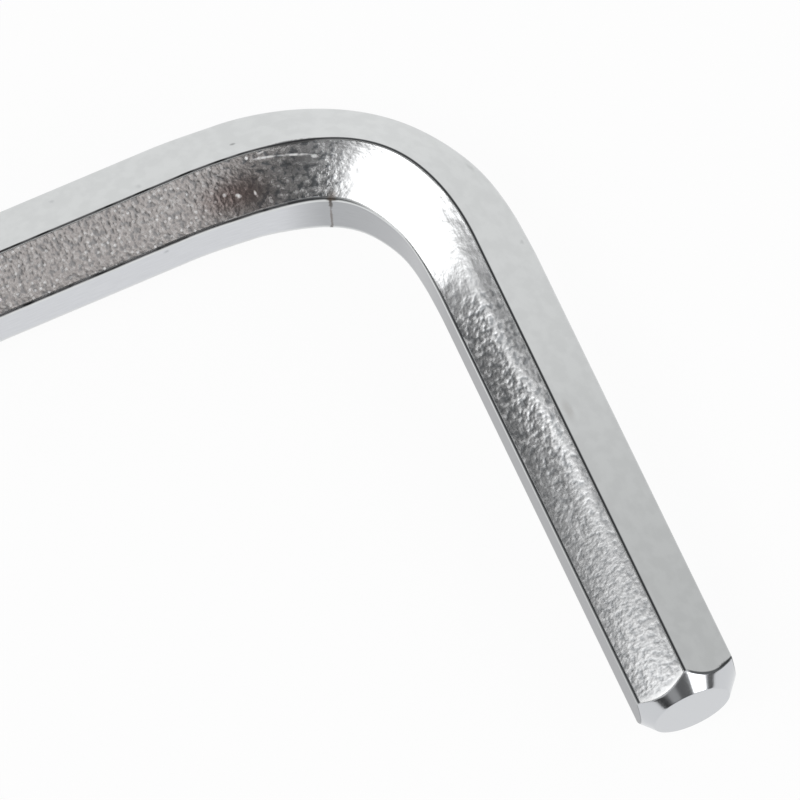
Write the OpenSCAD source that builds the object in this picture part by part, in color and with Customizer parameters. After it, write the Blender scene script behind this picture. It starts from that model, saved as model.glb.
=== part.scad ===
// Hex key: one hexagonal steel bar, bent once to a right angle and chamfered at both ends.
// It lies flat: both arms are level, with an edge of the hexagon down and a flat on the inside of the bend.
// The origin is the centre of the short arm's end face. The short arm runs along +Y, the long arm along -X.

/* [Bar] */
// Width across the flats, the size of the screw socket it fits
across_flats = 4; // [3:0.5:10]
// Radius on the long edges of the drawn bar
edge_radius = 0.15; // [0.05:0.05:0.4]

/* [Arms] */
// Overall length of the long arm, out to the back of the short one
long_arm = 74; // [50:1:160]
// Overall length of the short arm, out to the back of the long one
short_arm = 29; // [20:1:60]

/* [Bend] */
// Radius of the bend on the bar's centre line
bend_radius = 7; // [6:0.5:12]
// How far stretching draws in the outside flat at mid bend
outside_draw = 0.15; // [0:0.05:0.4]
// How far squeezing spreads each edge of the inside flat at mid bend
inside_spread = 0.1; // [0:0.05:0.3]
// How far the top and bottom edges slide outward at mid bend
edge_slide = 0.35; // [0:0.05:0.5]
// How far the bar is nipped inward where it was clamped beside the long arm
clamp_nip = 0.25; // [0:0.05:0.4]
// Angle of bend from the long arm's tangent to the deepest of that nip
nip_angle = 15; // [5:1:20]
// Length of the long arm that the nip runs on into
nip_run_on = 2.75; // [1:0.25:5]

/* [Ends] */
// Depth of the turned chamfer below the flats at the end face
chamfer_depth = 0.45; // [0.1:0.05:0.8]
// Angle between the chamfer and the bar's axis
chamfer_angle = 39; // [20:1:70]

/* [Hidden] */
// Steps round each long edge, and rings along the bend and the nip
edge_steps = 4;
bend_rings = 36;
bend_angle = 90;
$fn = 96;
half_flats = across_flats / 2;
corner_r = half_flats / cos(30);
end_r = half_flats - chamfer_depth;
// From each end face to where the two arm axes cross
long_reach = long_arm - half_flats;
short_reach = short_arm - half_flats;
// The run-on as an angle of the bend, and the angle that the nip covers from end to end
run_on_angle = nip_run_on / bend_radius * 180 / PI;
nip_span = 2 * (nip_angle + run_on_angle);

// Unit vector from a to b
function heading(a, b) = (b - a) / norm(b - a);

// Points of an arc of radius r that is tangent to both sides of corner b
function round_corner(a, b, c, r) =
    let (
        back = heading(b, a),
        ahead = heading(b, c),
        half = acos(back * ahead) / 2,
        centre = b + heading([0, 0], back + ahead) * r / sin(half),
        start = b + back * r / tan(half) - centre,
        turn = 180 - 2 * half
    )
    [for (i = [0 : edge_steps])
        let (t = turn * i / edge_steps)
        centre + [start.x * cos(t) - start.y * sin(t), start.x * sin(t) + start.y * cos(t)]];

// Section of the bar, x away from the bend's centre and y up. Both the squeeze and the nip are 0 in the arms
function bar_section(squeeze = 0, nip = 0) =
    let (
        outer = [half_flats - outside_draw * squeeze - nip, corner_r / 2],
        top = [edge_slide * squeeze - nip, corner_r],
        inner = [-half_flats - nip, corner_r / 2 + inside_spread * squeeze],
        corners = [outer, top, inner, [inner.x, -inner.y], [top.x, -top.y], [outer.x, -outer.y]],
        n = len(corners)
    )
    [for (i = [0 : n - 1])
        each round_corner(corners[(i + n - 1) % n], corners[i], corners[(i + 1) % n], edge_radius)];

// A smooth rise and fall from 0 through 1 and back, over the given span
function swell(angle, span) = angle < 0 || angle > span ? 0 : pow(sin(180 * angle / span), 2);

// One ring of the bend: the section carried round the bend's centre, and straight on past the bend's angle
function bend_ring(angle) =
    let (
        squeeze = swell(angle, bend_angle),
        nip = clamp_nip * swell(bend_angle + run_on_angle - angle, nip_span),
        turn = min(angle, bend_angle),
        straight = bend_radius * (angle - turn) * PI / 180
    )
    [for (p = bar_section(squeeze, nip))
        [(bend_radius + p.x) * cos(turn) - straight, (bend_radius + p.x) * sin(turn), p.y]];

// Straight bar that rises from its chamfered end, cut by the cone that the end is turned to
module arm(length) {
    intersection() {
        linear_extrude(length) polygon(bar_section());
        cylinder(h = length, r1 = end_r, r2 = end_r + length * tan(chamfer_angle));
    }
}

// The bend about the z axis, from the x axis to the y axis and on to where the nip ends
module bend() {
    rings = [for (i = [0 : bend_rings]) bend_ring((bend_angle + run_on_angle) * i / bend_rings)];
    n = len(rings[0]);
    sides = [for (i = [0 : bend_rings - 1], j = [0 : n - 1])
        [i * n + j, i * n + (j + 1) % n, (i + 1) * n + (j + 1) % n, (i + 1) * n + j]];
    first_cap = [for (j = [n - 1 : -1 : 0]) j];
    last_cap = [for (j = [0 : n - 1]) bend_rings * n + j];
    polyhedron([for (ring = rings) each ring], concat(sides, [first_cap, last_cap]), convexity = 4);
}

module hex_key() {
    color("#c3c7c6") union() {
        rotate([-90, 0, 0]) arm(short_reach - bend_radius);
        translate([-bend_radius, short_reach - bend_radius, 0]) bend();
        translate([-long_reach, short_reach, 0]) rotate([90, 0, 90])
            arm(long_reach - bend_radius - nip_run_on);
    }
}

hex_key();
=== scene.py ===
import math
import bpy
import numpy as np
from mathutils import Matrix, Vector


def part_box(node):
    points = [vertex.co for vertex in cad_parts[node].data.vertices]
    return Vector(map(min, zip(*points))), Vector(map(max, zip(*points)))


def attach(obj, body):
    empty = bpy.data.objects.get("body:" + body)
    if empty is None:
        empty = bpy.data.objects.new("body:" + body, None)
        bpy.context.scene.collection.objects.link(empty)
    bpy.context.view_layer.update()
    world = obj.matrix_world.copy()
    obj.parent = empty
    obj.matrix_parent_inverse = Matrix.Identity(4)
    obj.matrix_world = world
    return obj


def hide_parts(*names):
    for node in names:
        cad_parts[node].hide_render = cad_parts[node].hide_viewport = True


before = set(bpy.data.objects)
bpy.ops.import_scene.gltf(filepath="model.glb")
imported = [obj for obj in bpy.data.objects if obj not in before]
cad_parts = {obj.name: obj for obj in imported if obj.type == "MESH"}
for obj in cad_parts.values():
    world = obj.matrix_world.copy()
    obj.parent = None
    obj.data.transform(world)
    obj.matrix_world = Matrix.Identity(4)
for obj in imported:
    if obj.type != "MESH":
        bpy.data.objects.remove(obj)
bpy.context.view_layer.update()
mm = 0.001  # sizes and places below are in millimetres


def linearColour(hexColour):
    # by the standard sRGB curve
    parts = [int(hexColour[i:i + 2], 16) / 255 for i in (1, 3, 5)]
    return [c / 12.92 if c <= 0.04045 else ((c + 0.055) / 1.055) ** 2.4 for c in parts] + [1.0]


def addNode(tree, kind, settings=None, inputs=None):
    # an input is a number, a vector, a hex colour or the socket to link to it
    node = tree.nodes.new(kind)
    for name, value in (settings or {}).items():
        setattr(node, name, value)
    for name, value in (inputs or {}).items():
        if isinstance(value, bpy.types.NodeSocket):
            tree.links.new(value, node.inputs[name])
        else:
            node.inputs[name].default_value = linearColour(value) if isinstance(value, str) else value
    return node


# Settings that several nodes share. The names of a mix node's sockets repeat, so they go by number:
# 0 is the share, 2 and 3 are the numbers or 6 and 7 the colours, and a mixed colour comes out at 2
smoothStep = {"interpolation_type": "SMOOTHSTEP"}
product = {"operation": "MULTIPLY"}
productSum = {"operation": "MULTIPLY_ADD"}
mixNumber = {"data_type": "FLOAT"}
mixColour = {"data_type": "RGBA"}
flatNoise = {"noise_dimensions": "2D"}

# The bar and its two turned ends
hexKey = {
    "acrossFlats": 4.0,
    "edgeRadii": (0.15, 0.15, 0.26, 0.26, 0.15, 0.15),  # the two beside the inside flat are rounder
    "bendRadius": 7.0,
    "crown": 0.042,  # the two rough flats stand this much proud of straight in their middle
    "chamferDepth": 0.45,
    "chamferAngle": 39.0,  # to the bar's axis
    "chamferOffset": (-0.095, 0.11),  # the end was turned a little off centre
    "rimRadius": 0.06,  # between end face and chamfer
    "scallopRadius": 0.22,  # between chamfer and flats
    "endStraight": 1.6,  # length of arm that the rings of an end cover
    "ringStep": 0.16,
    "edgeSteps": 8,
    "flatSteps": 14,
    "filletSteps": 4,
    "endSteps": (9, 4, 8, 4, 9),  # rings of the end face, rim, chamfer, scallop and start of the flats
    "weldDistance": 0.0001,  # joins the points that meet in the middle of each end face
    "darkReflectionEdges": {1: 0.35, 2: 0.28, 3: 0.72, 4: 0.65},  # middle of the painted dark reflection line across each of these edges
    "worn": 0.25,  # the grain is worn off this near the turned ends, and the rim there gets a painted highlight
}

# What bending did to the section. Bend angles run from 0 at the long arm's tangent to 90 at the short arm's
bendForm = {
    "outsideDraw": 0.08,  # the outside flat is stretched inward at mid bend
    "edgeSlide": 0.34,  # and the top and bottom edges slide toward the outside
    "squeezeAngle": 45.0,
    "squeezeHalfSpan": 45.0,
    "clampNip": 0.22,  # the whole bar lies inward where it was clamped
    "nipAngle": 15.0,
    "nipHalfSpan": 37.5,
    "nipSpread": 0.25,  # and the inside flat a little more
    "topLag": 5.0,  # but the top and bottom edges only this much further round
    "backNip": 0.06,  # the outside and inside flats lie inward where the bend ends
    "backAngle": 84.0,
    "backHalfSpan": 17.0,
    "pressSpread": 0.22,  # each edge of the inside flat is spread where the former pressed hardest
    "pressDent": 0.10,  # and pushed in
    "pressAngle": 35.0,
    "pressHalfSpan": 38.0,
    "innerEdgeThinning": 0.14,  # the inner edges are sharper past the press mark
    "thinAngle": 68.0,
    "thinHalfSpan": 45.0,
}

# Seen from the short arm's end, edges are numbered anticlockwise from the outer top one, and each flat runs
# from the edge of its own number to the next
roughFlats = (1, 3)  # left as drawn, either side of the inside flat
insideFlat = 2
innerEdges = (2, 3)
outerFlats = (0, 4, 5)

keyLow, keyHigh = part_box("hex_key")
halfFlats = hexKey["acrossFlats"] / 2
cornerRadius = halfFlats / math.cos(math.radians(30))
shortStraight = (keyHigh.y - keyLow.y) / mm - halfFlats - hexKey["bendRadius"]
longStraight = (keyHigh.x - keyLow.x) / mm - halfFlats - hexKey["bendRadius"]
bendLength = hexKey["bendRadius"] * math.pi / 2
barLength = shortStraight + bendLength + longStraight


def swell(angle, middle, halfSpan):
    # rises smoothly from 0 to 1 at the middle and falls again
    away = np.minimum(np.abs(angle - middle) / halfSpan, 1)
    return np.cos(away * math.pi / 2) ** 2


# A place along the bar is its distance from the short arm's end face on the bar's axis, or its bend angle
def bendAngle(along):
    return 90 - np.degrees((along - shortStraight) / hexKey["bendRadius"])


def alongOf(angle):
    return shortStraight + math.radians(90 - angle) * hexKey["bendRadius"]


def sectionCorners(along):
    # (outward, up) of the hexagon's six corners
    form, angle = bendForm, bendAngle(along)
    squeeze = swell(angle, form["squeezeAngle"], form["squeezeHalfSpan"])
    nip = form["clampNip"] * swell(angle, form["nipAngle"], form["nipHalfSpan"])
    topNip = form["clampNip"] * swell(angle - form["topLag"], form["nipAngle"], form["nipHalfSpan"])
    backNip = form["backNip"] * swell(angle, form["backAngle"], form["backHalfSpan"])
    press = swell(angle, form["pressAngle"], form["pressHalfSpan"])
    outer = halfFlats - form["outsideDraw"] * squeeze - nip - backNip
    top = form["edgeSlide"] * squeeze - topNip
    inner = -halfFlats - nip * (1 + form["nipSpread"]) - backNip + form["pressDent"] * press
    insideHalf = cornerRadius / 2 + form["pressSpread"] * press
    return np.array([(outer, cornerRadius / 2), (top, cornerRadius), (inner, insideHalf),
                     (inner, -insideHalf), (top, -cornerRadius), (outer, -cornerRadius / 2)])


def unit(vector):
    return vector / np.linalg.norm(vector)


def roundCorner(before, corner, after, radius, steps):
    # points of the arc that rounds a corner
    back, ahead = unit(before - corner), unit(after - corner)
    half = math.acos(float(back @ ahead)) / 2
    centre = corner + unit(back + ahead) * radius / math.sin(half)
    x, y = corner + back * radius / math.tan(half) - centre
    turns = np.linspace(0, math.pi - 2 * half, steps + 1)
    cosines, sines = np.cos(turns), np.sin(turns)
    return centre + np.stack([x * cosines - y * sines, x * sines + y * cosines], 1)


def sectionRing(along):
    # round edge, flat, round edge, flat, six times over
    corners = sectionCorners(along)
    radii = np.array(hexKey["edgeRadii"])
    thinned = swell(bendAngle(along), bendForm["thinAngle"], bendForm["thinHalfSpan"])
    radii[list(innerEdges)] -= bendForm["innerEdgeThinning"] * thinned
    arcs = [roundCorner(corners[i - 1], corners[i], corners[(i + 1) % 6], radii[i], hexKey["edgeSteps"])
            for i in range(6)]
    share = np.linspace(0, 1, hexKey["flatSteps"] + 1)[1:-1, None]
    bulge = 4 * share * (1 - share)  # a shallow curve, 1 in the middle of the flat
    points = []
    for i in range(6):
        first, last = arcs[i][-1], arcs[(i + 1) % 6][0]
        outward = unit(np.array([last[1] - first[1], first[0] - last[0]]))
        crown = hexKey["crown"] if i in roughFlats else 0.0
        points += [arcs[i], first + (last - first) * share + outward * crown * bulge]
    return np.concatenate(points)


perSide = hexKey["edgeSteps"] + hexKey["flatSteps"]
plainRing = sectionRing(0.0)
aroundBar = np.concatenate([[0], np.cumsum(np.linalg.norm(np.roll(plainRing, -1, 0) - plainRing, axis=1))])


def aroundOf(flat, share):
    # millimetres round the bar to a place on a flat, given as a share of the way between its two edges
    start, end = (aroundBar[i * perSide + hexKey["edgeSteps"] // 2] for i in (flat, flat + 1))
    return start + (end - start) * share


def placeOnBar(section, along):
    # carries a ring's (outward, up) points to their places along the bar
    radius, outward, up = hexKey["bendRadius"], section[:, 0], section[:, 1]
    turn = np.clip((along - shortStraight) / radius, 0, math.pi / 2)
    before = np.minimum(along - shortStraight, 0)
    after = np.maximum(along - shortStraight - bendLength, 0)
    x = -radius + (radius + outward) * np.cos(turn) - after
    y = shortStraight + (radius + outward) * np.sin(turn) + before
    return np.stack([x, y, up], 1)


def filletedPath(points, radii, steps):
    # a run of straight lines with rounded corners, as a list of points
    path = [points[0]]
    for before, corner, after, radius in zip(points, points[1:], points[2:], radii):
        back, ahead = unit(before - corner), unit(after - corner)
        reach = radius / math.tan(math.acos(float(back @ ahead)) / 2)
        start, end = corner + back * reach, corner + ahead * reach
        for t in np.linspace(0, 1, steps + 1):  # a quadratic curve is close enough to an arc here
            path.append(start * (1 - t) ** 2 + corner * 2 * t * (1 - t) + end * t * t)
    return np.array(path + [points[-1]])


def endProfile(reach):
    # (radius, depth) points from the centre of the end face out to where the section reaches
    slope = math.tan(math.radians(hexKey["chamferAngle"]))
    faceRadius = halfFlats - hexKey["chamferDepth"]
    corners = [np.array(p) for p in ((0, 0), (faceRadius, 0), (reach, (reach - faceRadius) / slope),
                                     (reach, hexKey["endStraight"]))]
    arc = hexKey["filletSteps"]
    path = filletedPath(corners, (hexKey["rimRadius"], hexKey["scallopRadius"]), arc)
    stops = np.cumsum((0, 1, arc, 1, arc, 1))  # points of the path where each part of the end starts
    places = [np.linspace(first, last, steps, endpoint=False)
              for first, last, steps in zip(stops, stops[1:], hexKey["endSteps"])]
    places = np.append(np.concatenate(places), stops[-1])
    return np.stack([np.interp(places, np.arange(len(path)), path[:, i]) for i in (0, 1)], 1)


def endRings(along):
    # rings of one end, from its centre out, as (section, depth) pairs
    offset = np.array(hexKey["chamferOffset"])
    ways = sectionRing(along) - offset
    reaches = np.linalg.norm(ways, axis=1)
    ways /= reaches[:, None]
    profiles = np.array([endProfile(reach) for reach in reaches])
    return [(offset + ways * profiles[:, i, :1], profiles[:, i, 1]) for i in range(profiles.shape[1])]


def barRings():
    # (section, along) pairs, from the centre of the short arm's end face to the centre of the long arm's
    first, last = hexKey["endStraight"], barLength - hexKey["endStraight"]
    between = np.linspace(first, last, int((last - first) / hexKey["ringStep"]))[1:-1]
    rings = endRings(0.0)
    rings += [(sectionRing(along), np.full(len(plainRing), along)) for along in between]
    rings += [(section, barLength - depth) for section, depth in reversed(endRings(barLength))]
    return rings


def addBarPlace(mesh, alongs):
    # a uv map in millimetres, along the bar and round it
    ringCount, count = alongs.shape
    places = []
    for i in range(ringCount - 1):
        for j in range(count):
            for ring, column in ((i, j), (i, j + 1), (i + 1, j + 1), (i + 1, j)):
                places += [alongs[ring, column % count], aroundBar[column]]
    mesh.uv_layers.new(name="barPlace").data.foreach_set("uv", places)


def addSurfaceKinds(mesh, alongs):
    # what the surface is at each point, for the material, from 0 to 1
    ringCount, count = alongs.shape
    side, step = np.divmod(np.arange(count), perSide)
    onFlat = step >= hexKey["edgeSteps"]
    rough = np.isin(side, roughFlats) & onFlat
    rough |= np.isin((side - 1) % 6, roughFlats) & (step == 0)  # a flat ends where the next edge starts
    inside = (side == insideFlat) & onFlat

    # a painted dark line along some edges, standing in for a dark reflection, full over most of its width,
    # that fades where the inner edges are thin
    edge = np.zeros(count)
    for corner, middle in hexKey["darkReflectionEdges"].items():
        off = np.abs(step / hexKey["edgeSteps"] - middle) / min(middle, 1 - middle)
        edge += np.where((side == corner) & ~onFlat & (off < 1), 1 - off ** 4, 0)
    thinned = swell(bendAngle(alongs), bendForm["thinAngle"], bendForm["thinHalfSpan"])
    edge = edge * (1 - thinned * np.isin(side, innerEdges))

    # the turned ends reach to the middle of the scallop, which gets the painted dark reflection line too
    # where it cuts a smooth flat
    scallop = sum(hexKey["endSteps"][:3]) + hexKey["endSteps"][3] // 2
    fromEnd = np.minimum(np.arange(ringCount), np.arange(ringCount)[::-1])[:, None]
    turned = np.broadcast_to(fromEnd < scallop, alongs.shape)
    edge[turned] = 0
    edge[(np.abs(fromEnd - scallop) <= 1) & np.isin(side, outerFlats)] = 1
    fromTurned = np.minimum(alongs - alongs[scallop], alongs[-1 - scallop] - alongs)
    worn = np.clip(1 - fromTurned / hexKey["worn"], 0, 1)
    for name, values in (("rough", ~turned & rough), ("inside", ~turned & inside), ("edge", edge),
                         ("turned", turned), ("worn", worn)):
        layer = mesh.attributes.new(name, "FLOAT", "POINT")
        layer.data.foreach_set("value", np.ascontiguousarray(values, dtype=np.float32).ravel())


def makeHexKey():
    rings = barRings()
    points = np.array([placeOnBar(section, along) for section, along in rings])
    alongs = np.array([along for section, along in rings])
    ringCount, count = alongs.shape
    faces = []
    for i in range(ringCount - 1):
        for j in range(count):
            k = (j + 1) % count
            faces.append((i * count + j, i * count + k, (i + 1) * count + k, (i + 1) * count + j))
    mesh = bpy.data.meshes.new("hexKeyBar")
    mesh.from_pydata((points.reshape(-1, 3) * mm).tolist(), [], faces)
    addBarPlace(mesh, alongs)
    addSurfaceKinds(mesh, alongs)

    bpy.ops.object.select_all(action="DESELECT")
    piece = bpy.data.objects.new("hexKeyBar", mesh)
    bpy.context.scene.collection.objects.link(piece)
    bpy.context.view_layer.objects.active = piece
    piece.select_set(True)
    bpy.ops.object.mode_set(mode="EDIT")
    bpy.ops.mesh.select_all(action="SELECT")
    bpy.ops.mesh.remove_doubles(threshold=hexKey["weldDistance"] * mm)
    bpy.ops.mesh.normals_make_consistent(inside=False)
    bpy.ops.object.mode_set(mode="OBJECT")
    bpy.ops.object.shade_smooth()
    return piece


# Nickel plate over drawn steel. The plate is bright and smooth on the flats that the die burnished. On the
# two rough flats it follows the crinkled skin of the bar, so each grain has a light and a dark side
nickelPlate = {
    "flatColour": "#dcdede",
    "tipShadeColour": "#c1c3c3",  # painted shade: the smooth flats are darker toward the short arm's end
    "clouding": 0.05,  # strength of the faint clouds on them
    "roughColour": "#d3d4d5",
    "tipRoughColour": "#c4c5c6",
    "warmColour": "#b6b1af",  # the long arm's rough flats, darker and a little browner
    "pitShadeColour": "#70767b",  # painted shade between the grains
    "peakHighlightColour": "#ffffff",  # painted highlight on the tops of the grains, partly rubbed wear
    "wornRimHighlightColour": "#f2f3f3",  # painted highlight on the rims beside the turned ends, where the grain is also worn away
    "sparkles": 0.85,  # painted glints: small bright dots on the long arm's rough flats
    "sparkleSpacing": 0.23,
    # the inside flat's colours are painted reflection of a darker floor, a little darker and bluer than the
    # smooth flats
    "insideColour": "#d2d4d8",
    "insideDarkReflectionColour": "#a9abae",  # painted darker reflection on the inside flat from the crease on
    "insideDarkerReflectionColour": "#808286",  # and painted darker still on the short arm
    "streaking": 0.05,
    "shadeColour": "#000000",  # of the clouds and streaks
    "turnedColour": "#cacccf",
    "edgeDarkReflectionColour": "#5c5e60",  # painted dark reflection along the edges where rough meets smooth, lighter on the long arm
    "edgeLongDarkReflectionColour": "#88888a",
    "edgePatchColour": "#2e2e30",  # darker in patches along the long arm's edges
    "flatRoughness": 0.28,
    "roughRoughness": 0.20,
    "tipRoughness": 0.34,
    "turnedRoughness": 0.16,
    "peakRoughness": 0.5,
    "scratchGaps": 0.25,  # how much of a scratch is left where it skips over the grain
    "wander": {"reach": 0.06, "spacing": 0.14, "detail": 3.0},  # of the outlines of marks
    # Where along the bar each change comes in, from its first to its second place in degrees of bend
    "zones": {
        "longArm": (37, 0),
        "tip": (80, 240),
        "fineTip": (140, 220),
        "sparkling": (5, -15),
        "bend": (-8, 6),
        "burnished": (30, 44),
        "bendEnd": (112, 92),
        # where the inside flat's painted darker reflection comes in, from the crease on and again on the
        # short arm
        "insideDarkReflection": (8, 34),
        "insideDarkerReflection": (78, 112),
    },
    # Spacing of the lumps in each pattern, in mm along the bar and across it, and their detail
    "patterns": {
        "round": (0.27, 0.26, 1.2),
        "fine": (0.21, 0.22, 1.5),
        "tip": (0.20, 0.23, 1.5),
        "pressed": (0.32, 0.22, 3.5),
        "burnished": (0.42, 0.30, 2.0),
        "worn": (0.20, 0.26, 1.0),
        "cloud": (0.62, 0.62, 4.0),
        "patch": (1.3, 0.6, 2.0),
        "streak": (0.90, 0.07, 2.0),
    },
    # Level of its pattern, from 0 to 1, at which each of these starts to show, and at which it is full
    "levels": {
        "pit": (0.50, 0.34),
        "peak": (0.55, 0.72),
        "sparkle": (0.36, 0.10),  # distance from its middle, as a share of the spacing
        "sparkleTone": (0.25, 1.2),  # a random level for each, so most of them stay faint
        "cloud": (0.35, 0.65),
        "streak": (0.35, 0.65),
        "edgePatch": (0.42, 0.60),
        "scratch": (0.30, 0.55),
    },
}

# The grain of the rough flats: round in the short arm, finer in the long arm and at the tip, dark with more
# painted pit shade where the bend starts, burnished bright through the rest of it, and worn away beside the
# turned ends
grains = {
    # pits and peaks are the shares of painted shade in the pits and of painted highlight on the tops
    "round": {"height": 0.0140, "pits": 0.50, "peaks": 0.30},
    "fine": {"height": 0.0120, "pits": 0.42, "peaks": 0.22},
    "tip": {"height": 0.0145, "pits": 0.36, "peaks": 0.30},
    "pressed": {"height": 0.0145, "pits": 0.75, "peaks": 0.26},
    "burnished": {"height": 0.0090, "pits": 0.0, "peaks": 0.0},
    "worn": {"height": 0.0030, "pits": 0.05, "peaks": 0.10},
}

# Low swells of the rough flat, each an oval. The angle is the place along the bar in degrees of bend, and
# runs on into the arms. The share is the place across the flat, from 0 at the edge of the flat's own number
# to 1 at the next. The half length is along the bar and the half width across it, in mm like the height
swells = [
    {"angle": 149, "flat": 1, "share": 0.22, "half": (6.5, 2.6), "height": 0.124},
    {"angle": 177, "flat": 1, "share": 0.15, "half": (5.9, 1.1), "height": 0.052},
    {"angle": 230, "flat": 1, "share": 0.72, "half": (9.6, 5.4), "height": 0.309},
    {"angle": 76, "flat": 1, "share": 1.15, "half": (3.0, 2.35), "height": 0.106},
    {"angle": 115, "flat": 1, "share": -0.07, "half": (6.5, 1.15), "height": -0.095},
    {"angle": 11, "flat": 1, "share": 0.98, "half": (3.05, 2.55), "height": 0.076},
]

# Marks on the plate, with painted highlights and painted shade among them, ovals placed in the same way. They
# fade from their core, a share of the oval, to its rim. The tilt is in degrees. The scratches skip over the
# grain
marks = [
    {"name": "pressCrease", "angle": 34.2, "flat": 2, "share": 0.62, "half": (0.09, 1.1),
     "colour": "#6f6864", "strength": 0.8, "core": 0.4},
    {"name": "creaseTop", "angle": 34.4, "flat": 2, "share": 0.12, "half": (0.14, 0.55),
     "colour": "#4b4540", "strength": 0.95, "core": 0.3},
    {"name": "creaseFoot", "angle": 33.8, "flat": 2, "share": 0.95, "half": (0.12, 0.35),
     "colour": "#6a6866", "strength": 0.9, "core": 0.3},
    {"name": "creaseSmudge", "angle": 34.8, "flat": 1, "share": 1.00, "half": (0.42, 0.11),
     "colour": "#4b4540", "strength": 0.9, "core": 0.3},
    {"name": "creaseStain", "angle": 34.8, "flat": 1, "share": 0.93, "half": (0.35, 0.30), "tilt": 15,
     "colour": "#8b8078", "strength": 0.6, "core": 0.1},
    # brownish patch, partly a stain and partly a painted reflection
    {"name": "brownStainAndReflection", "angle": -3.0, "flat": 1, "share": 0.60, "half": (2.2, 1.0),
     "colour": "#927e79", "strength": 0.75},
    # darker patch on the rough flat, partly a painted dark reflection
    {"name": "darkPatch", "angle": 20.0, "flat": 1, "share": 0.34, "half": (1.35, 0.85),
     "colour": "#454648", "strength": 0.5},
    {"name": "scratch", "angle": 10.2, "flat": 1, "share": 0.153, "half": (0.72, 0.065), "tilt": -5.0,
     "colour": "#ffffff", "strength": 0.85, "core": 0.2, "roughness": 0.6},
    {"name": "scratch", "angle": 19.8, "flat": 1, "share": 0.208, "half": (0.92, 0.065), "tilt": -7.0,
     "colour": "#ffffff", "strength": 0.8, "core": 0.2, "roughness": 0.6},
    {"name": "scratchEnd", "angle": 26.8, "flat": 1, "share": 0.275, "half": (0.20, 0.10), "tilt": -14,
     "colour": "#ffffff", "strength": 0.6, "core": 0.2, "roughness": 0.6},
    {"name": "scratch", "angle": 9.6, "flat": 1, "share": 0.062, "half": (0.40, 0.055), "tilt": 7.8,
     "colour": "#ffffff", "strength": 0.6, "core": 0.2, "roughness": 0.6},
    {"name": "nick", "angle": 4.4, "flat": 1, "share": 0.088, "half": (0.09, 0.09),
     "colour": "#ffffff", "strength": 1.0, "core": 0.3, "roughness": 0.6},
    # the glints are painted highlights
    {"name": "glint", "angle": -2.5, "flat": 1, "share": 0.626, "half": (0.12, 0.15), "tilt": 30,
     "colour": "#ffffff", "strength": 0.9, "core": 0.1, "roughness": 0.6},
    {"name": "glint", "angle": 3.3, "flat": 1, "share": 0.668, "half": (0.09, 0.12),
     "colour": "#ffffff", "strength": 0.8, "core": 0.1, "roughness": 0.6},
    {"name": "glint", "angle": -6.4, "flat": 1, "share": 0.545, "half": (0.10, 0.10),
     "colour": "#ffffff", "strength": 0.7, "core": 0.1, "roughness": 0.6},
    {"name": "glint", "angle": -16.5, "flat": 1, "share": 0.647, "half": (0.11, 0.11),
     "colour": "#ffffff", "strength": 0.7, "core": 0.1, "roughness": 0.6},
    {"name": "glint", "angle": -17.9, "flat": 1, "share": 0.498, "half": (0.09, 0.10),
     "colour": "#ffffff", "strength": 0.5, "core": 0.1, "roughness": 0.6},
    # painted dark reflection along the edge of the rough flat in the bend
    {"name": "darkEdgeReflection", "angle": 20.0, "flat": 1, "share": 0.0, "half": (1.5, 0.14),
     "colour": "#48484a", "strength": 0.7, "core": 0.5},
    # painted shade along the lip of the turned end
    {"name": "turnedLipShade", "angle": 247.6, "flat": 0, "share": 0.20, "half": (0.09, 0.62), "tilt": 20,
     "colour": "#2a2b2c", "strength": 0.8, "core": 0.3},
    {"name": "speck", "angle": 2.3, "flat": 0, "share": 0.67, "half": (0.15, 0.09),
     "colour": "#7c7e7e", "strength": 0.65, "core": 0.2},
    {"name": "smudge", "angle": -55.6, "flat": 0, "share": 0.29, "half": (0.15, 0.15),
     "colour": "#b4b6b8", "strength": 0.5},
    {"name": "smudge", "angle": -29.7, "flat": 0, "share": 0.83, "half": (0.16, 0.20),
     "colour": "#b4b6b8", "strength": 0.45},
    {"name": "speck", "angle": -29.3, "flat": 2, "share": 0.155, "half": (0.16, 0.20),
     "colour": "#8c9096", "strength": 0.5},
    {"name": "smudge", "angle": 69.0, "flat": 0, "share": 0.12, "half": (0.30, 0.16),
     "colour": "#b9bbbb", "strength": 0.5},
    {"name": "smudge", "angle": 94.0, "flat": 0, "share": 0.15, "half": (0.16, 0.14),
     "colour": "#b4b6b6", "strength": 0.5},
    {"name": "smudge", "angle": 153.5, "flat": 0, "share": 0.82, "half": (0.62, 0.30),
     "colour": "#b3b2b0", "strength": 0.5, "core": 0.2},
]


def ovalMask(tree, where, spot):
    # 1 within the core of the oval, 0 outside it
    middle = (alongOf(spot["angle"]), aroundOf(spot["flat"], spot["share"]), 0)
    inOval = addNode(tree, "ShaderNodeMapping", {"vector_type": "TEXTURE"}, {
        "Vector": where, "Location": middle, "Rotation": (0, 0, math.radians(spot.get("tilt", 0))),
        "Scale": (*spot["half"], 1)})
    far = addNode(tree, "ShaderNodeVectorMath", {"operation": "LENGTH"}, {0: inOval.outputs[0]})
    mask = addNode(tree, "ShaderNodeMapRange", smoothStep, {
        "Value": far.outputs["Value"], "From Min": 1.0, "From Max": spot.get("core", 0.0)})
    return mask.outputs[0]


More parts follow.
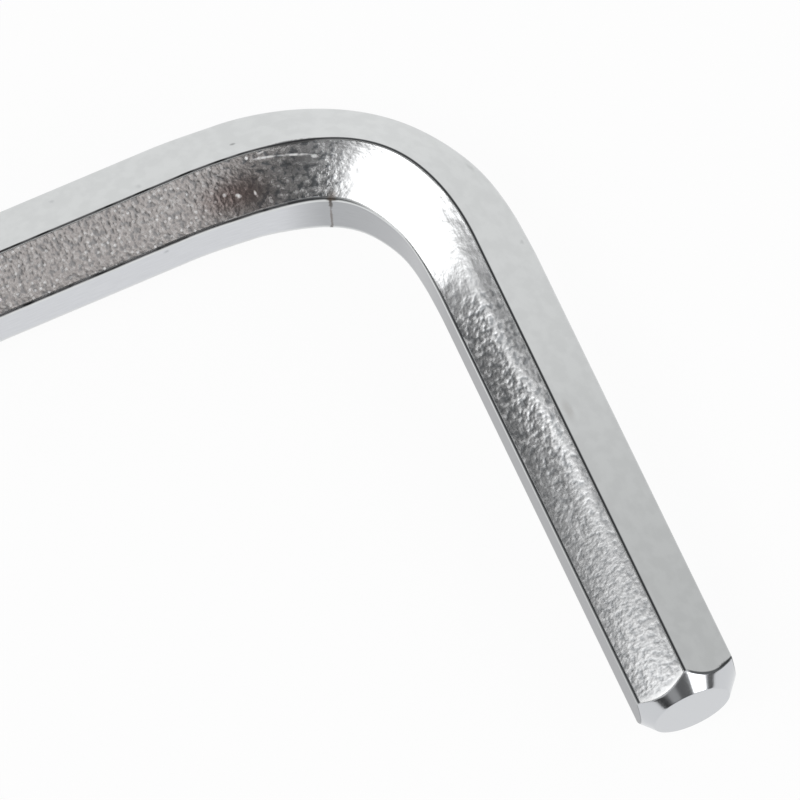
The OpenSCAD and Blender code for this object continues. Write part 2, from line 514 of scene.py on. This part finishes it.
def barFields(tree, values):
    # sockets for a point's place on the bar, the kind of surface there, how far it is into each zone, and
    # the level of each pattern there
    place = addNode(tree, "ShaderNodeUVMap", {"uv_map": "barPlace"}).outputs[0]
    along = addNode(tree, "ShaderNodeSeparateXYZ", {}, {0: place}).outputs["X"]
    kind, zone, pattern = {}, {}, {}
    for name in ("rough", "inside", "edge", "turned", "worn"):
        kind[name] = addNode(tree, "ShaderNodeAttribute", {"attribute_name": name}).outputs["Fac"]
    for name, (start, full) in values["zones"].items():
        zone[name] = addNode(tree, "ShaderNodeMapRange", smoothStep, {
            "Value": along, "From Min": alongOf(start), "From Max": alongOf(full)}).outputs[0]
    for name in ("bend", "burnished"):
        zone[name] = addNode(tree, "ShaderNodeMath", product, {0: zone[name], 1: zone["bendEnd"]}).outputs[0]
    for name, (spacingAlong, spacingAcross, detail) in values["patterns"].items():
        scaled = addNode(tree, "ShaderNodeMapping", {"vector_type": "POINT"}, {
            "Vector": place, "Scale": (1 / spacingAlong, 1 / spacingAcross, 1)}).outputs[0]
        pattern[name] = addNode(tree, "ShaderNodeTexNoise", flatNoise, {
            "Vector": scaled, "Scale": 1.0, "Detail": detail}).outputs[0]
    return place, kind, zone, pattern


def blendGrains(tree, kind, zone, pattern):
    # the grains, one over another
    grain = dict(grains["round"], lumps=pattern["round"])
    for name, share in (("fine", zone["longArm"]), ("tip", zone["fineTip"]), ("pressed", zone["bend"]),
                        ("burnished", zone["burnished"]), ("worn", kind["worn"])):
        for key, value in dict(grains[name], lumps=pattern[name]).items():
            grain[key] = addNode(tree, "ShaderNodeMix", mixNumber, {
                0: share, 2: grain[key], 3: value}).outputs[0]
    return grain


def sharesShown(tree, values, place, zone, pattern, grain):
    # how strongly each thing on the plate shows: its pattern, then its least and its most
    dots = addNode(tree, "ShaderNodeTexVoronoi", {"voronoi_dimensions": "2D"}, {
        "Vector": place, "Scale": 1 / values["sparkleSpacing"]}).outputs
    dotTone = addNode(tree, "ShaderNodeSeparateXYZ", {}, {0: dots["Color"]}).outputs["X"]
    things = {
        "pit": (grain["lumps"], 0.0, grain["pits"]),
        "peak": (grain["lumps"], 0.0, grain["peaks"]),
        "sparkle": (dots["Distance"], 0.0, values["sparkles"]),
        "sparkleTone": (dotTone, 0.0, 1.0),
        "cloud": (pattern["cloud"], 0.0, values["clouding"]),
        "streak": (pattern["streak"], 0.0, values["streaking"]),
        "edgePatch": (pattern["patch"], 0.0, 1.0),
        "scratch": (pattern["tip"], values["scratchGaps"], 1.0),
    }
    shown = {}
    for name, (level, least, most) in things.items():
        start, full = values["levels"][name]
        shown[name] = addNode(tree, "ShaderNodeMapRange", smoothStep, {
            "Value": level, "From Min": start, "From Max": full, "To Min": least, "To Max": most}).outputs[0]
    for name, share in (("sparkle", shown["sparkleTone"]), ("sparkle", zone["sparkling"]),
                        ("edgePatch", zone["longArm"])):
        shown[name] = addNode(tree, "ShaderNodeMath", product, {0: shown[name], 1: share}).outputs[0]
    return shown


def layMarks(tree, values, place, scratchLeft, skin, gloss):
    # the outlines of wide marks wander a little, and a thin mark would break up if it did
    wander = values["wander"]
    noise = addNode(tree, "ShaderNodeTexNoise", flatNoise, {
        "Vector": place, "Scale": 1 / wander["spacing"], "Detail": wander["detail"]}).outputs["Color"]
    shift = addNode(tree, "ShaderNodeVectorMath", {"operation": "SUBTRACT"}, {
        0: noise, 1: (0.5, 0.5, 0.5)}).outputs[0]  # a noise runs from 0 to 1
    width = wander["reach"] * 2
    wandering = addNode(tree, "ShaderNodeVectorMath", productSum, {
        0: shift, 1: (width, width, 0), 2: place}).outputs[0]
    for mark in marks:
        mask = ovalMask(tree, place if mark["half"][1] < width else wandering, mark)
        share = addNode(tree, "ShaderNodeMath", product, {0: mask, 1: mark["strength"]}).outputs[0]
        if "scratch" in mark["name"]:
            share = addNode(tree, "ShaderNodeMath", product, {0: share, 1: scratchLeft}).outputs[0]
        skin = addNode(tree, "ShaderNodeMix", mixColour, {0: share, 6: skin, 7: mark["colour"]}).outputs[2]
        if "roughness" in mark:
            gloss = addNode(tree, "ShaderNodeMix", mixNumber, {
                0: share, 2: gloss, 3: mark["roughness"]}).outputs[0]
    return skin, gloss


def makeNickelPlate(values):
    material = bpy.data.materials.new("nickelPlatedSteel")
    material.use_nodes = True
    tree = material.node_tree
    tree.nodes.clear()
    place, kind, zone, pattern = barFields(tree, values)
    grain = blendGrains(tree, kind, zone, pattern)
    shown = sharesShown(tree, values, place, zone, pattern, grain)

    # colour of each kind of surface: its ground, and then what lies over it by what share
    layers = {
        # the smooth flats get painted shade toward the short arm's end
        "flat": ("flatColour", (zone["tip"], "tipShadeColour"), (shown["cloud"], "shadeColour")),
        "rough": ("roughColour", (zone["fineTip"], "tipRoughColour"), (zone["longArm"], "warmColour"),
                  # the pits get painted shade, and the peaks and sparkles painted highlights
                  (shown["pit"], "pitShadeColour"), (shown["peak"], "peakHighlightColour"),
                  (shown["sparkle"], "peakHighlightColour"), (kind["worn"], "wornRimHighlightColour")),
        # the inside flat gets painted darker reflection from the crease on and on the short arm
        "inside": ("insideColour", (zone["insideDarkReflection"], "insideDarkReflectionColour"),
                   (zone["insideDarkerReflection"], "insideDarkerReflectionColour"), (shown["streak"], "shadeColour")),
        "turned": ("turnedColour",),
        # the edges get a painted dark reflection line
        "edge": ("edgeDarkReflectionColour", (zone["longArm"], "edgeLongDarkReflectionColour"), (shown["edgePatch"], "edgePatchColour")),
    }
    colour = {}
    for name, (ground, *overs) in layers.items():
        colour[name] = values[ground]
        for share, over in overs:
            colour[name] = addNode(tree, "ShaderNodeMix", mixColour, {
                0: share, 6: colour[name], 7: values[over]}).outputs[2]
    skin = colour["flat"]
    for name in ("rough", "inside", "turned", "edge"):
        skin = addNode(tree, "ShaderNodeMix", mixColour, {0: kind[name], 6: skin, 7: colour[name]}).outputs[2]

    # roughness in the same way
    gloss = values["roughRoughness"]
    for share, over in ((zone["fineTip"], "tipRoughness"), (shown["peak"], "peakRoughness"),
                        (shown["sparkle"], "peakRoughness"), (kind["worn"], "peakRoughness")):
        gloss = addNode(tree, "ShaderNodeMix", mixNumber, {0: share, 2: gloss, 3: values[over]}).outputs[0]
    gloss = addNode(tree, "ShaderNodeMix", mixNumber, {
        0: kind["rough"], 2: values["flatRoughness"], 3: gloss}).outputs[0]
    gloss = addNode(tree, "ShaderNodeMix", mixNumber, {
        0: kind["turned"], 2: gloss, 3: values["turnedRoughness"]}).outputs[0]
    skin, gloss = layMarks(tree, values, place, shown["scratch"], skin, gloss)

    # height in millimetres
    height = addNode(tree, "ShaderNodeMath", product, {0: grain["lumps"], 1: grain["height"]}).outputs[0]
    for low in swells:
        height = addNode(tree, "ShaderNodeMath", productSum, {
            0: ovalMask(tree, place, low), 1: low["height"], 2: height}).outputs[0]
    height = addNode(tree, "ShaderNodeMath", product, {0: height, 1: kind["rough"]}).outputs[0]
    bump = addNode(tree, "ShaderNodeBump", {}, {"Strength": 1.0, "Distance": mm, "Height": height})

    shader = addNode(tree, "ShaderNodeBsdfPrincipled", {}, {
        "Metallic": 1.0, "Base Color": skin, "Roughness": gloss, "Normal": bump.outputs[0]})
    addNode(tree, "ShaderNodeOutputMaterial", {}, {"Surface": shader.outputs[0]})
    return material


bar = makeHexKey()
bar.data.materials.append(makeNickelPlate(nickelPlate))
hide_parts("hex_key")
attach(bar, "root")
print("hex key:", len(bar.data.polygons), "faces")

# Matt white paper that the key lies on, with no shine of its own
paperFloor = {
    "size": 6000.0,
    "colour": "#f7f7f7",
    "glow": 0.94,  # share of plain white that the camera and the metal see, and the rest keeps the shadow
}


def makeFloor(values):
    half = values["size"] / 2 * mm
    mesh = bpy.data.meshes.new("floor")
    mesh.from_pydata([(-half, -half, 0), (half, -half, 0), (half, half, 0), (-half, half, 0)], [],
                     [(0, 1, 2, 3)])
    floor = bpy.data.objects.new("floor", mesh)
    bpy.context.scene.collection.objects.link(floor)
    floor.location.z = keyLow.z
    material = bpy.data.materials.new("mattPaper")
    material.use_nodes = True
    tree = material.node_tree
    tree.nodes.clear()
    light = addNode(tree, "ShaderNodeLightPath").outputs
    seen = light["Is Camera Ray"]
    for ray in ("Is Glossy Ray", "Is Transmission Ray"):
        seen = addNode(tree, "ShaderNodeMath", {"operation": "MAXIMUM"}, {0: seen, 1: light[ray]}).outputs[0]
    share = addNode(tree, "ShaderNodeMath", product, {0: seen, 1: values["glow"]}).outputs[0]
    paper = addNode(tree, "ShaderNodeBsdfDiffuse", {}, {"Color": values["colour"]}).outputs[0]
    glow = addNode(tree, "ShaderNodeEmission", {}, {"Color": "#ffffff", "Strength": 1.0}).outputs[0]
    mix = addNode(tree, "ShaderNodeMixShader", {}, {0: share, 1: paper, 2: glow})
    addNode(tree, "ShaderNodeOutputMaterial", {}, {"Surface": mix.outputs[0]})
    mesh.materials.append(material)


makeFloor(paperFloor)
print("floor: laid")

# The room: a pale tent with soft dark and bright panels. Each lies in its direction from the key, is full
# within the first number of degrees of that direction, and has faded out at the second
studio = {
    "tent": 0.92,
    "panels": [
        {"name": "ceiling", "toward": (0.05, 0.2, 1.0), "full": 28, "none": 48, "tone": 0.22},
        {"name": "frontWall", "toward": (-0.1, -1.0, 0.12), "full": 30, "none": 42, "tone": 0.14},
        {"name": "frontLeftCloth", "toward": (-0.38, -0.81, 0.44), "full": 7, "none": 12, "tone": 0.42},
        {"name": "frontLeftGap", "toward": (-0.69, -0.71, 0.13), "full": 9, "none": 13, "tone": 0.05},
        {"name": "frontRightGap", "toward": (0.78, -0.62, 0.05), "full": 11, "none": 15, "tone": 0.10},
        {"name": "frontCloth", "toward": (0.24, -0.50, 0.87), "full": 13.5, "none": 17.5, "tone": 0.93},
        {"name": "besideLens", "toward": (-0.15, -0.52, 0.79), "full": 11.5, "none": 13, "tone": 0.10},
        {"name": "frontLamp", "toward": (0.48, -0.77, 0.42), "full": 12, "none": 15.5, "tone": 3.0},
        {"name": "rightWall", "toward": (0.86, 0.36, 0.35), "full": 15, "none": 35, "tone": 0.90},
        {"name": "leftWall", "toward": (-0.80, 0.47, 0.03), "full": 28.0, "none": 36.5, "tone": 0.16},
        {"name": "keyBox", "toward": (-0.56, -0.20, 0.87), "full": 14, "none": 18.5, "tone": 2.6},
        {"name": "sideBox", "toward": (-0.76, 0.11, 0.67), "full": 12.5, "none": 15.5, "tone": 2.4},
    ],
}


def makeStudio(values):
    world = bpy.data.worlds.new("studio")
    bpy.context.scene.world = world
    world.use_nodes = True
    tree = world.node_tree
    tree.nodes.clear()
    way = addNode(tree, "ShaderNodeTexCoord").outputs["Generated"]
    tone = values["tent"]
    for panel in values["panels"]:
        toward = Vector(panel["toward"]).normalized()
        facing = addNode(tree, "ShaderNodeVectorMath", {"operation": "DOT_PRODUCT"}, {0: way, 1: toward})
        share = addNode(tree, "ShaderNodeMapRange", smoothStep, {
            "Value": facing.outputs["Value"], "From Min": math.cos(math.radians(panel["none"])),
            "From Max": math.cos(math.radians(panel["full"]))}).outputs[0]
        tone = addNode(tree, "ShaderNodeMix", mixNumber, {0: share, 2: tone, 3: panel["tone"]}).outputs[0]
    background = addNode(tree, "ShaderNodeBackground", {}, {"Color": tone})
    addNode(tree, "ShaderNodeOutputWorld", {}, {"Surface": background.outputs[0]})


makeStudio(studio)
print("studio:", len(studio["panels"]), "panels")

# The photograph's viewpoint. Angles are in degrees
lens = {
    "azimuth": -18.445,
    "elevation": 67.479,
    "roll": -5.852,
    "aim": (-4.92, 16.079, 0.0),
    "distance": 662.1,
    "focalLength": 792.14,
    "sensorWidth": 36.0,
    "clip": (10.0, 10000.0),
}


def makeCamera(values):
    azimuth, elevation = math.radians(values["azimuth"]), math.radians(values["elevation"])
    right = Vector((math.cos(azimuth), math.sin(azimuth), 0))
    level = Vector((math.sin(azimuth), -math.cos(azimuth), 0))
    back = level * math.cos(elevation) + Vector((0, 0, math.sin(elevation)))
    turn = Matrix((right, back.cross(right), back)).transposed().to_4x4()
    roll = Matrix.Rotation(math.radians(values["roll"]), 4, "Z")
    spot = Vector(values["aim"]) * mm + back * values["distance"] * mm
    data = bpy.data.cameras.new("photographersView")
    data.lens = values["focalLength"]
    data.sensor_width = values["sensorWidth"]
    data.clip_start, data.clip_end = (distance * mm for distance in values["clip"])
    camera = bpy.data.objects.new("photographersView", data)
    bpy.context.scene.collection.objects.link(camera)
    camera.matrix_world = Matrix.Translation(spot) @ turn @ roll
    bpy.context.scene.camera = camera


makeCamera(lens)
bpy.context.scene.view_settings.view_transform = "Standard"
print("camera: placed")
